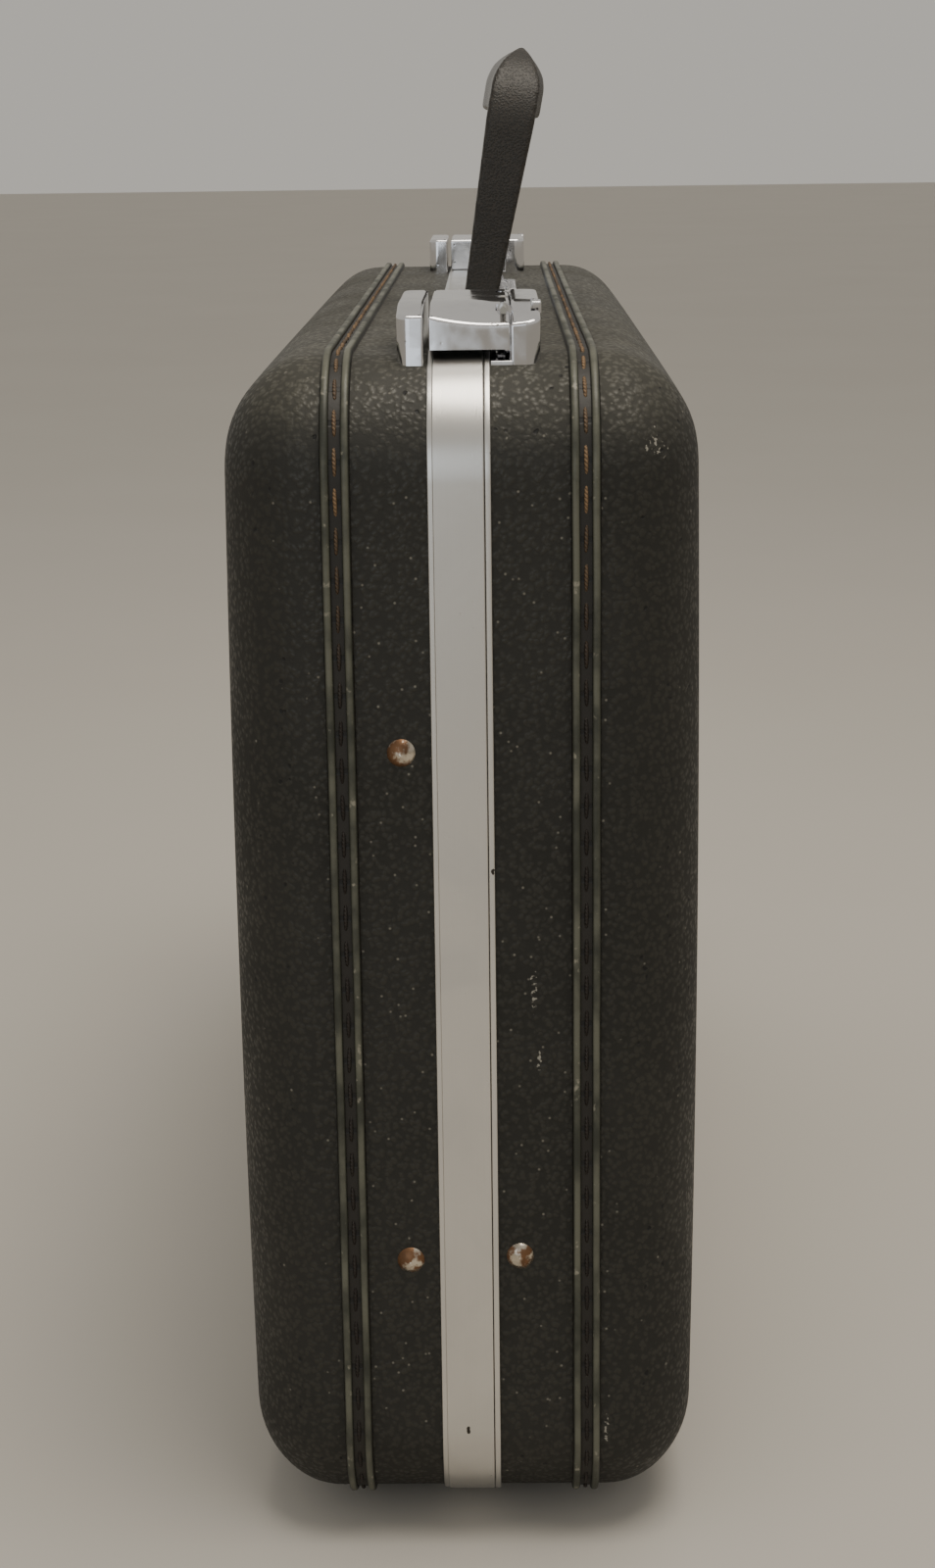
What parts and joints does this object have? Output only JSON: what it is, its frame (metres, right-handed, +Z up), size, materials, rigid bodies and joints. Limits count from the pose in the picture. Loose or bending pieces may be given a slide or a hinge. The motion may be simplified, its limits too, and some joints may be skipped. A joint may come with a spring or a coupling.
{
  "type": "attache case",
  "caption": "Hard-sided attache case: two moulded shells with aluminium closure frames, hinged lid with stays, lever latches and a bail handle.",
  "frame": {"origin": "centre of the case's outline in plan, on the plane that the feet stand on", "axes": "+X along the case, +Y from the lid to the base, +Z up from the hinges to the handle"},
  "size_m": [0.4606, 0.127, 0.4109],
  "materials": {
    "shell": "moulded, pebbled leather-like grain, low sheen, near-black olive",
    "welt": "worn vinyl ribs with a stitched channel",
    "band": "satin anodised, fine lengthwise brushing",
    "chrome": "bright plated, light wear",
    "steel": "plated steel",
    "rivet": "nickel plating worn to brass",
    "handle": "finely textured black vinyl over a firm core",
    "lining": "woven lining cloth on board",
    "pocket": "woven pocket cloth",
    "foot": "black moulded glide"
  },
  "bodies": {
    "base": {"base_shell": "shell", "base_welt": "welt", "base_frame": "band", "base_lining": "lining", "base_feet": "foot", "base_hinge_rivets": "steel", "handle_plate": "band", "left_hinge_base_leaf": "steel", "left_hinge_pin": "steel", "left_latch_housing": "chrome", "left_latch_spring": "steel", "left_latch_pin": "steel", "left_handle_lug": "chrome", "left_handle_pin": "steel", "left_base_stay_rivet": "rivet", "right_hinge_base_leaf": "steel", "right_hinge_pin": "steel", "right_latch_housing": "chrome", "right_latch_spring": "steel", "right_latch_pin": "steel", "right_handle_lug": "chrome", "right_handle_pin": "steel", "right_base_stay_rivet": "rivet"},
    "lid": {"lid_shell": "shell", "lid_welt": "welt", "lid_frame": "band", "lid_lining": "lining", "document_pocket": "pocket", "lid_feet": "foot", "lid_hinge_rivets": "steel", "left_hinge_lid_leaf": "steel", "left_latch_keeper": "chrome", "left_stay_track": "steel", "left_lid_stay_rivets": "rivet", "right_hinge_lid_leaf": "steel", "right_latch_keeper": "chrome", "right_stay_track": "steel", "right_lid_stay_rivets": "rivet"},
    "handle": {"handle_grip": "handle"},
    "left_hasp": {"left_latch_hasp": "chrome"},
    "left_slide": {"left_latch_slide": "chrome"},
    "left_arm": {"left_stay_arm": "steel", "left_stay_stud": "steel"},
    "right_hasp": {"right_latch_hasp": "chrome"},
    "right_slide": {"right_latch_slide": "chrome"},
    "right_arm": {"right_stay_arm": "steel", "right_stay_stud": "steel"}
  },
  "joints": [
    {"name": "lid_open", "type": "hinge", "parent": "base", "child": "lid", "pos_m": [0, 0.00607, 0.0029], "axis": [1, 0, 0], "range_deg": [0, 90]},
    {"name": "handle_swing", "type": "hinge", "parent": "base", "child": "handle", "pos_m": [0, 0.0051, 0.3375], "axis": [1, 0, 0], "range_deg": [-70, 90]},
    {"name": "left_hasp_lift", "type": "hinge", "parent": "base", "child": "left_hasp", "pos_m": [-0.18, 0.0113, 0.3418], "axis": [-1, 0, 0], "range_deg": [0, 85]},
    {"name": "left_slide_push", "type": "slide", "parent": "base", "child": "left_slide", "axis": [-1, 0, 0], "range_m": [0, 0.005], "stiffness_N_per_m": 150, "springref_m": -0.004},
    {"name": "left_stay_swing", "type": "hinge", "parent": "base", "child": "left_arm", "pos_m": [-0.2205, 0.0136, 0.0885], "axis": [1, 0, 0], "range_deg": [0, 127]},
    {"name": "right_hasp_lift", "type": "hinge", "parent": "base", "child": "right_hasp", "pos_m": [0.18, 0.0113, 0.3418], "axis": [-1, 0, 0], "range_deg": [0, 85]},
    {"name": "right_slide_push", "type": "slide", "parent": "base", "child": "right_slide", "axis": [1, 0, 0], "range_m": [0, 0.005], "stiffness_N_per_m": 150, "springref_m": -0.004},
    {"name": "right_stay_swing", "type": "hinge", "parent": "base", "child": "right_arm", "pos_m": [0.2205, 0.0136, 0.0885], "axis": [1, 0, 0], "range_deg": [0, 127]}
  ],
  "couplings": [
    {"joint": "left_stay_swing", "follows": "lid_open", "ratio": 1.41},
    {"joint": "right_stay_swing", "follows": "lid_open", "ratio": 1.41}
  ]
}
